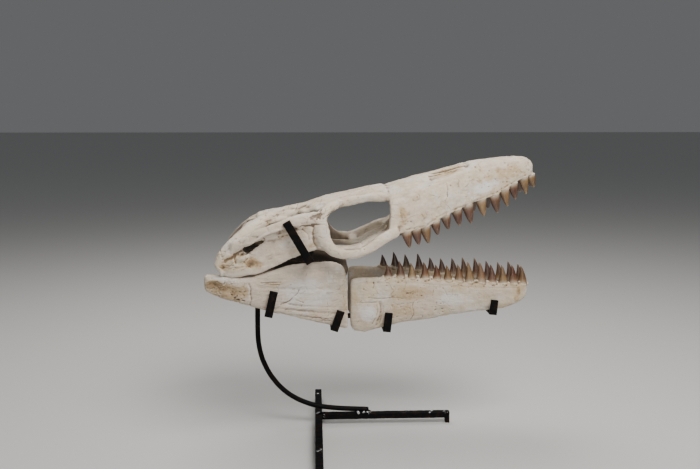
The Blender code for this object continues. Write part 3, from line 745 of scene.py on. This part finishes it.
def makeTeeth(name, upper, sides, looks, pattern, keep):
    # keep says which teeth of a row belong to this piece, counted from the tip of the jaw
    copies = []
    for side in sides:
        for order, (base, lean, height) in enumerate(toothSeats(upper, side)):
            if order not in keep:
                continue
            tooth = pattern.copy()
            tooth.data = pattern.data.copy()
            bpy.context.scene.collection.objects.link(tooth)
            back = Vector((-1, 0, 0))
            back = (back - lean * back.dot(lean)).normalized()
            out = lean.cross(back)
            half = toothHalf(upper, height)
            twist = random.uniform(-0.25, 0.25)
            tall = height * random.uniform(0.97, 1.03)
            turned = Matrix.Rotation(twist, 3, "Z")
            tint, hue = looks[order]
            rise, shade, edge, spots = [], [], [], []
            for vert in tooth.data.vertices:
                local = turned @ vert.co
                up = vert.co.z
                bent = teeth["tipBack"][0 if upper else 1] * tall * max(up, 0) ** 2
                spot = base + lean * tall * up + back * (half * local.x + bent) + out * half * local.y
                spots.append(inModel(*spot))
                around = (back * local.x + out * local.y).normalized() if up < 0.97 else Vector()
                rise.append(max(up, 0))
                shade.append(tint + 1.1 * max(0, -side * around.y) ** 2)  # painted shade: the tongue's side, turned from the lamps, is darker
                # the cutting edges get painted shade along with their darker enamel
                edge.append(abs(math.cos(math.atan2(vert.co.y, vert.co.x))) ** 6 if up < 0.97 else 0)
            for vert, spot in zip(tooth.data.vertices, spots):
                vert.co = spot
            for key, values in (("rise", rise), ("tint", shade), ("edge", edge), ("hue", [hue] * len(rise))):
                tooth.data.attributes.new(key, "FLOAT", "POINT").data.foreach_set("value", values)
            copies.append(tooth)
    piece = joinAs(name, copies)
    applyModifier(piece, "SUBSURF", levels=1, render_levels=1)
    onWholeMesh(bpy.ops.mesh.normals_make_consistent, inside=False)
    shadeSmooth(piece)
    return piece


# The iron stand.

iron = {
    # where the beads and spatter of weld metal are: place, radii, pitch
    "leg": [
        ((-9, -4.5, 24), (5, 3, 3), 0), ((-18, -4.5, 24.5), (6, 2.6, 3), 0),
        ((-28, -4.5, 24.5), (5, 2.4, 3.2), 0),
        ((-8, 4.5, 24), (6, 3, 3), 0), ((-20, 4.5, 24.5), (6, 2.6, 3), 0), ((-3, 0, 24), (3.5, 4, 2.6), 0),
        ((69, -3, 23), (4, 3, 1.4), 0), ((80, 2, 23), (3, 2.4, 1.2), 0), ((117, -5, 22.6), (4.5, 2.6, 1.6), 0),
        ((125, 3, 23), (3, 3, 1.2), 0), ((151, -1, 22), (5, 7, 2.2), 20),
    ],
    "crossbar": [
        ((-109, -196, 22), (6, 9, 2.6), 0), ((-105, -186, 22.6), (3.5, 5, 1.6), 0),
        ((-105, 0, 23), (8, 7, 2.4), 0),
        ((-97, -7, 18), (3, 3, 5), 0), ((-97, 7, 18), (3, 3, 5), 0), ((-108, 120, 22.6), (5, 4, 1.6), 0),
    ],
    # of the feet and bars, and of the straps: the remesh's cell and how deeply they are hammered
    "bars": (1.1, 0.8),
    "straps": (0.9, 0.25),
    "evening": 3,
    "most": 30000,
    "rodSwell": 0.45,  # makes up for what the rod loses when it is rounded
}


def makeIron(name, nodes, welds, voxel, hammered):
    piece = nodeCopy(nodes, name)
    beads = [ellipsoid(place, radii, pitch) for place, radii, pitch in welds]
    piece = joinAs(name, [piece] + beads)
    placeIntoMesh(piece)
    grownTogether(piece, voxel, iron["evening"])
    weather(piece, 9, hammered, noise_depth=1)
    if welds:
        weather(piece, 3, 0.6)
    points = readPoints(piece)
    points[:, 2] = np.maximum(points[:, 2], 0)
    writePoints(piece, points)
    thinTo(piece, iron["most"])
    shadeSmooth(piece)
    surface = Surface(piece)
    weld = np.zeros(len(surface.points))
    for place, radii, _ in welds:
        away = np.linalg.norm((surface.points - np.array(place)) / (np.array(radii) + 3), axis=1)
        weld = np.maximum(weld, 1 - eased(away, 0.5, 1.3))
    surface.keep("weld", weld)
    return piece


# Finishes.

class Wire:
    # a socket that can be used in sums. Every other node comes from node().
    def __init__(self, tree, socket=None):
        self.tree = tree
        self.socket = socket

    def node(self, kind, settings=None, sockets=None, output=0):
        made = self.tree.nodes.new("ShaderNode" + kind)
        for key, value in (settings or {}).items():
            if key == "stops":
                for spare in list(made.color_ramp.elements)[1:]:
                    made.color_ramp.elements.remove(spare)
                made.color_ramp.elements[0].position = value[0][0]
                for place, _ in value[1:]:
                    made.color_ramp.elements.new(place)
                for stop, (_, colour) in zip(made.color_ramp.elements, value):
                    stop.color = (*colour, 1)
            else:
                setattr(made, key, value)
        for key, value in (sockets or {}).items():
            if isinstance(value, Wire):
                self.tree.links.new(value.socket, made.inputs[key])
            else:
                made.inputs[key].default_value = value
        return Wire(self.tree, made.outputs[output])

    def maths(self, operation, a, b):
        return self.node("Math", {"operation": operation}, {0: a, 1: b})

    def __add__(self, other):
        return self.maths("ADD", self, other)

    def __sub__(self, other):
        return self.maths("SUBTRACT", self, other)

    def __rsub__(self, other):
        return self.maths("SUBTRACT", other, self)

    def __mul__(self, other):
        return self.maths("MULTIPLY", self, other)

    __radd__ = __add__
    __rmul__ = __mul__

    def above(self, low, high):
        # 0 at low, 1 at high
        settings = {"interpolation_type": "SMOOTHSTEP"}
        return self.node("MapRange", settings, {"Value": self, "From Min": low, "From Max": high})

    def blend(self, start, end):
        # one colour where this is 0, the other where it is 1
        colours = {}
        for key, colour in ((6, start), (7, end)):
            colours[key] = colour if isinstance(colour, Wire) else (*colour, 1)
        return self.node("Mix", {"data_type": "RGBA"}, {0: self, **colours}, 2)

    def noise(self, where, scale, detail=3, roughness=0.5, distortion=0):
        sockets = {"Vector": where, "Scale": scale, "Detail": detail}
        return self.node("TexNoise", {}, {**sockets, "Roughness": roughness, "Distortion": distortion})

    def mapped(self, where, scale, pitch=0):
        sockets = {"Vector": where, "Scale": scale, "Rotation": (0, math.radians(pitch), 0)}
        return self.node("Mapping", {}, sockets)


def newMaterial(name):
    made = bpy.data.materials.new(name)
    made.use_nodes = True
    start = Wire(made.node_tree)
    where = start.node("TexCoord", output=3)
    return made, made.node_tree.nodes["Principled BSDF"], start, where


def connect(made, shader, **wires):
    # each wire to the input of its name
    for name, wire in wires.items():
        made.node_tree.links.new(wire.socket, shader.inputs[name.replace("_", " ")])


def attribute(start, name):
    return start.node("Attribute", {"attribute_name": name}, output=2)


def layered(colour, colours, layers):
    # lays colours over each other, each as far as its wire says
    for share, name in layers:
        colour = share.blend(colour, colours[name])
    return colour


bone = {
    "white": (0.75, 0.665, 0.555),
    "cream": (0.68, 0.56, 0.40),
    "yellow": (0.61, 0.49, 0.33),
    "rosy": (0.665, 0.54, 0.445),
    "drab": (0.50, 0.43, 0.345),
    "tan": (0.50, 0.365, 0.205),
    "brown": (0.23, 0.145, 0.075),
    # dirt and painted shade, laid in hollows, on undersides, round the teeth and at the dark spots
    "dirtAndShade": (0.15, 0.105, 0.07),
    "plaster": (0.70, 0.68, 0.66),
    # paler ridges: wear and a painted highlight
    "wornAndHighlit": (0.76, 0.70, 0.60),
    # painted shade, with some stain, on faces turned to the middle, and near black further in
    "inside": (0.16, 0.12, 0.088),
    "deepInsideShade": (0.035, 0.028, 0.022),
    "rough": 0.78,
    "bump": 0.8, "bumpDepth": 0.0011,
}


def makeBone(name, pitch, fibres, cream, tone):
    # pitch is the way the grain runs and fibres how strongly it shows, cream how yellow the bone is, and tone
    # how light its colour is made, the jaws' lower tone being partly painted shade
    made, shader, start, where = newMaterial(name)
    hollow, stain, plaster, dark, rosy, inner = (
        attribute(start, key) for key in ("hollow", "stain", "plaster", "dark", "rosy", "inner"))
    along = start.mapped(where, (14, 150, 150), pitch)
    finely = start.mapped(where, (40, 620, 620), pitch)
    broad = start.noise(where, 13, 3, 0.55)
    blotch = start.noise(where, 42, 5, 0.62, 0.8)
    mottle = start.noise(where, 150, 4, 0.6)
    streak = start.noise(along, 1, 4, 0.6)
    thread = start.noise(finely, 1, 3, 0.6)
    grain = start.noise(where, 900, 2, 0.5)
    bent = start.node("VectorMath", {"operation": "ADD"}, {
        0: where,
        1: start.node("VectorMath", {"operation": "SCALE"}, {0: start.node(
            "TexNoise", {}, {"Vector": where, "Scale": 60.0, "Detail": 3.0}, 1), "Scale": 0.012}),
    })
    crackle = start.node("TexVoronoi", {"feature": "DISTANCE_TO_EDGE"}, {"Vector": bent, "Scale": 34.0})
    cracks = (1 - crackle.above(0.006, 0.03)) * blotch.above(0.50, 0.62)
    dots = start.node("TexVoronoi", {}, {"Vector": where, "Scale": 210.0, "Randomness": 1.0})
    specks = (1 - dots.above(0.10, 0.26)) * mottle.above(0.52, 0.64)

    filled = plaster * (0.5 + 0.9 * (blotch - 0.3))
    patch = start.noise(where, 31, 3, 0.5, 0.4)
    smudge = start.noise(where, 78, 4, 0.65, 0.5)
    blush = (start.noise(where, 9, 2, 0.5, 0.6) + 0.16 * rosy).above(0.46, 0.64)
    drab = (0.6 * mottle + 0.4 * broad).above(0.44, 0.60)
    tanned = (1.15 * stain + 1.3 * (blotch - 0.5) + 1.2 * stain * (mottle - 0.5)).above(0.04, 0.9)
    browned = (stain * 1.1 + 1.9 * (mottle - 0.6)).above(0.42, 1.2)
    # dirt and painted shade: darker in hollows, on undersides, round the teeth and at the dark spots, varied
    # by the mottle
    darkening = (hollow + 1.1 * dark + 0.5 * (mottle - 0.5)).above(0.14, 0.95)
    yellowed = (cream + 1.6 * (broad - 0.5)).above(0.0, 1.0)
    colour = layered(yellowed.blend(bone["white"], bone["cream"]), bone, [
        (patch.above(0.50, 0.60) * 0.65, "plaster"),
        ((1 - patch.above(0.38, 0.50)) * 0.8, "yellow"),
        (smudge.above(0.50, 0.64) * 0.62, "drab"),
        (blush * 0.7, "rosy"),
        ((1 - drab) * 0.42, "drab"),
        (streak.above(0.40, 0.72) * (0.45 * fibres), "drab"),
        (filled.above(0.25, 0.75), "plaster"),
        (tanned * 0.85, "tan"),
        (browned * 0.75, "brown"),
        # ridges above their surroundings are paler: wear and a painted highlight
        ((0 - hollow).above(0.08, 0.55) * 0.35, "wornAndHighlit"),
        # painted shade with some stain on inner faces, and near black deep inside the slit
        ((inner + 0.6 * (blotch - 0.5)).above(0.1, 1.0) * 0.78, "inside"),
        (inner.above(1.1, 1.9), "deepInsideShade"),
        (darkening * 0.80, "dirtAndShade"),
        (cracks * 0.45, "brown"),
        (specks * 0.55, "brown"),
    ])
    colour = start.node("VectorMath", {"operation": "SCALE"}, {0: colour, "Scale": tone})
    height = 0.45 * fibres * streak + 0.30 * fibres * thread + 0.35 * mottle + 0.16 * grain
    height = height - 0.5 * cracks - 0.45 * specks
    height = height * (1 - 0.5 * filled.above(0.25, 0.75))
    bump = start.node("Bump", {}, {"Height": height, "Strength": bone["bump"], "Distance": bone["bumpDepth"]})
    rough = bone["rough"] + 0.14 * darkening - 0.10 * tanned + 0.10 * (mottle - 0.5)
    connect(made, shader, Base_Color=colour, Roughness=rough, Normal=bump)
    shader.inputs["Specular IOR Level"].default_value = 0.3
    return made


enamel = {
    "stops": [  # up the crown, from the gum to the tip
        (0.0, (0.56, 0.48, 0.38)), (0.12, (0.40, 0.30, 0.21)), (0.28, (0.22, 0.105, 0.045)),
        (0.55, (0.115, 0.040, 0.016)), (0.86, (0.12, 0.048, 0.020)), (1.0, (0.34, 0.25, 0.15)),
    ],
    "ochre": (0.235, 0.155, 0.055),
    "pink": (0.115, 0.064, 0.048),
    "dark": (0.065, 0.022, 0.013),
    "darkening": (0.10, 0.066, 0.045),
    "shaded": (0.075, 0.045, 0.032),
    "pale": (0.44, 0.32, 0.18),
    "rough": 0.32,
}


def makeEnamel():
    made, shader, start, where = newMaterial("toothEnamel")
    rise, tint, edge, hue = (attribute(start, key) for key in ("rise", "tint", "edge", "hue"))
    cloud = start.noise(where, 95, 4, 0.6, 0.5)
    lines = start.noise(start.mapped(where, (700, 700, 60)), 1, 3, 0.6)
    climb = rise + 0.42 * (cloud - 0.5) + 0.22 * (lines - 0.5)
    colour = start.node("ValToRGB", {"stops": enamel["stops"]}, {"Fac": climb})
    middle = rise.above(0.05, 0.45) * (1 - rise.above(0.72, 1.0))
    coloured = rise.above(0.02, 0.2) * (1 - rise.above(0.9, 1.0)) * 0.62
    colour = layered(colour, enamel, [
        ((1 - hue.above(0.0, 0.5)) * coloured, "ochre"),
        (hue.above(0.5, 1.0) * coloured, "pink"),
        # tint is each tooth's own darkness, and above 1 the painted shade on the tongue's side
        (tint.above(0.2, 1.0) * middle * 0.8, "dark"),
        ((1 - tint.above(0.1, 0.5)) * 0.36, "pale"),
        ((1 - cloud.above(0.34, 0.58)) * 0.5, "darkening"),
        # painted shade along the cutting edges, with their darker enamel
        (edge * (0.5 + 0.8 * cloud) * 0.85, "dark"),
        (lines.above(0.56, 0.74) * 0.5, "pale"),
        ((1 - lines.above(0.28, 0.42)) * 0.5, "dark"),
        (tint.above(1.0, 1.7) * 0.75, "shaded"),
    ])
    bump = start.node("Bump", {}, {"Height": lines + 0.5 * cloud, "Strength": 0.35, "Distance": 0.0004})
    rough = enamel["rough"] + 0.3 * (1 - rise.above(0.0, 0.25)) + 0.2 * (cloud - 0.5)
    connect(made, shader, Base_Color=colour, Roughness=rough, Normal=bump)
    shader.inputs["Coat Weight"].default_value = 0.45
    shader.inputs["Coat Roughness"].default_value = 0.18
    return made


blackened = {
    "black": (0.003, 0.003, 0.0034),
    "rust": (0.024, 0.012, 0.007),
    "bare": (0.42, 0.42, 0.43),
    "rough": 0.50,
}


def makeIronFinish():
    made, shader, start, where = newMaterial("blackIron")
    cloud = start.noise(where, 55, 4, 0.6)
    scale = start.noise(where, 420, 3, 0.6)
    fleck = start.noise(where, 160, 2, 0.5)
    rusty = (cloud + 0.5 * (scale - 0.5)).above(0.50, 0.74)
    colour = (rusty * 0.75).blend(blackened["black"], blackened["rust"])
    weld = attribute(start, "weld")
    bare = (fleck + 0.33 * weld + 0.25 * weld * (scale - 0.4)).above(0.87, 0.92)
    colour = bare.blend(colour, blackened["bare"])
    bump = start.node("Bump", {}, {"Height": scale + 0.6 * fleck, "Strength": 0.5, "Distance": 0.0005})
    rough = blackened["rough"] + 0.25 * (cloud - 0.5) - 0.12 * bare
    connect(made, shader, Base_Color=colour, Roughness=rough, Metallic=bare * 0.8, Normal=bump)
    shader.inputs["Specular IOR Level"].default_value = 0.08
    return made


# Making it all.

craniumBone = makeBone("craniumBone", 13, 0.8, 0.60, 1.05)
dentaryBone = makeBone("dentaryBone", -4, 0.7, 0.60, 0.91)
rearJawBone = makeBone("rearJawBone", 6, 1.6, 0.30, 0.92)
toothEnamel = makeEnamel()
blackIron = makeIronFinish()

piece, nodes = makeCranium()
finishPiece(piece, "fossil_bone", craniumBone, *nodes)

for side, word in ((-1, "right"), (1, "left")):
    for kind, finish in (("dentary", dentaryBone), ("rear_jaw", rearJawBone)):
        piece = makeJawBone(kind, side, word)
        finishPiece(piece, "fossil_bone", finish, kind + "_" + word)

upperCrown, lowerCrown = makeCrown(crown["taper"][0]), makeCrown(crown["taper"][1])
# each tooth, from the tip of the jaw: how dark it is, and its colour from ochre to drab pink
upperLooks = (
    (0.5, 0.05), (0.35, 0.1), (0.9, 0.8), (0.35, 0.2), (0.6, 0.75), (0.25, 0.15), (0.5, 0.9),
    (0.8, 0.65), (0.7, 0.6), (0.6, 0.85), (0.4, 0.2), (0.6, 0.9), (0.6, 0.45),
)
lowerLooks = (
    (0.6, 0.1), (0.7, 0.6), (0.35, 0.0), (0.6, 1.0), (0.3, 0.45), (0.35, 0.1), (0.4, 0.3),
    (0.5, 0.15), (0.6, 0.4), (0.5, 0.4), (0.2, 0.0), (0.8, 1.0), (0.6, 0.95),
)
everyTooth = range(13)
for side, word in ((-1, "right"), (1, "left")):
    row = makeTeeth("upper_teeth_" + word, True, (side,), upperLooks, upperCrown, everyTooth[2:])
    finishPiece(row, "tooth_enamel", toothEnamel, "maxilla_" + word)
    row = makeTeeth("lower_teeth_" + word, False, (side,), lowerLooks, lowerCrown, everyTooth)
    finishPiece(row, "tooth_enamel", toothEnamel, "dentary_" + word)
row = makeTeeth("front_teeth", True, (-1, 1), upperLooks, upperCrown, everyTooth[:2])
finishPiece(row, "tooth_enamel", toothEnamel, "premaxilla")
bpy.data.objects.remove(upperCrown)
bpy.data.objects.remove(lowerCrown)

ironPieces = {
    "crossbar": ["stand_crossbar", "stand_foot_right", "stand_foot_left"],
    "leg": ["stand_leg", "stand_foot_front"],
    "spine": ["stand_spine"],
    "post": ["stand_post"],
}
for strap in ("cradle_hind", "cradle_mid_rear", "cradle_mid_front", "cradle_fore", "head_strap"):
    ironPieces[strap] = [strap + part for part in ("_run", "_right", "_left")]
for name, nodes in ironPieces.items():
    piece = makeIron(name, nodes, iron.get(name, ()), *iron["straps" if "_" in name else "bars"])
    finishPiece(piece, "black_iron", blackIron, *nodes)
rod = nodeCopy(["stand_rod"], "rod")
applyModifier(rod, "SUBSURF", levels=2, render_levels=2)
applyModifier(rod, "DISPLACE", strength=iron["rodSwell"] * mm, mid_level=0)
shadeSmooth(rod)
finishPiece(rod, "black_iron", blackIron, "stand_rod")


# Camera, light and floor.

camera = {
    "focal": 820.0, "width": 700,  # in pixels
    "pitch": 7.95, "yaw": -2.5,  # degrees, down and to the side
    "place": (-0.1152, -1.5445, 0.6145),
}


def makeCamera():
    bpy.ops.object.camera_add(location=camera["place"])
    eye = bpy.context.object
    eye.data.sensor_width = 36
    eye.data.lens = camera["focal"] / camera["width"] * eye.data.sensor_width
    eye.rotation_euler = (math.radians(90 - camera["pitch"]), 0, math.radians(camera["yaw"]))
    bpy.context.scene.camera = eye


lights = {
    # place, size, watts
    "key": ((0.70, -1.25, 2.2), 1.5, 70),
    "fill": ((0.1, -2.5, 0.75), 1.4, 9),
    "top": ((-0.3, 0.8, 2.0), 1.2, 22),
}


studio = {
    "aim": (0, 0.06, 0.36),
    "warm": (1.0, 0.968, 0.925),
    "sky": (0.76, 0.78, 0.80, 1), "skyStrength": 0.17,
    "floor": (0.60, 0.60, 0.59, 1), "floorRough": 0.8, "floorSize": 80,
}


def makeLights():
    aim = Vector(studio["aim"])
    for name, (place, size, watts) in lights.items():
        bpy.ops.object.light_add(type="AREA", location=place)
        lamp = bpy.context.object
        lamp.name = name + "Light"
        lamp.data.size = size
        lamp.data.energy = watts
        lamp.data.color = studio["warm"]
        lamp.rotation_euler = (aim - Vector(place)).to_track_quat("-Z", "Y").to_euler()
    world = bpy.data.worlds.new("studio")
    bpy.context.scene.world = world
    world.use_nodes = True
    background = world.node_tree.nodes["Background"].inputs
    background["Color"].default_value = studio["sky"]
    background["Strength"].default_value = studio["skyStrength"]


def makeFloor():
    made, shader, _, _ = newMaterial("floorPaint")
    shader.inputs["Base Color"].default_value = studio["floor"]
    shader.inputs["Roughness"].default_value = studio["floorRough"]
    bpy.ops.mesh.primitive_plane_add(size=studio["floorSize"])
    floor = bpy.context.object
    floor.name = "floor"
    floor.data.materials.append(made)


deselectAll()
makeCamera()
makeLights()
makeFloor()
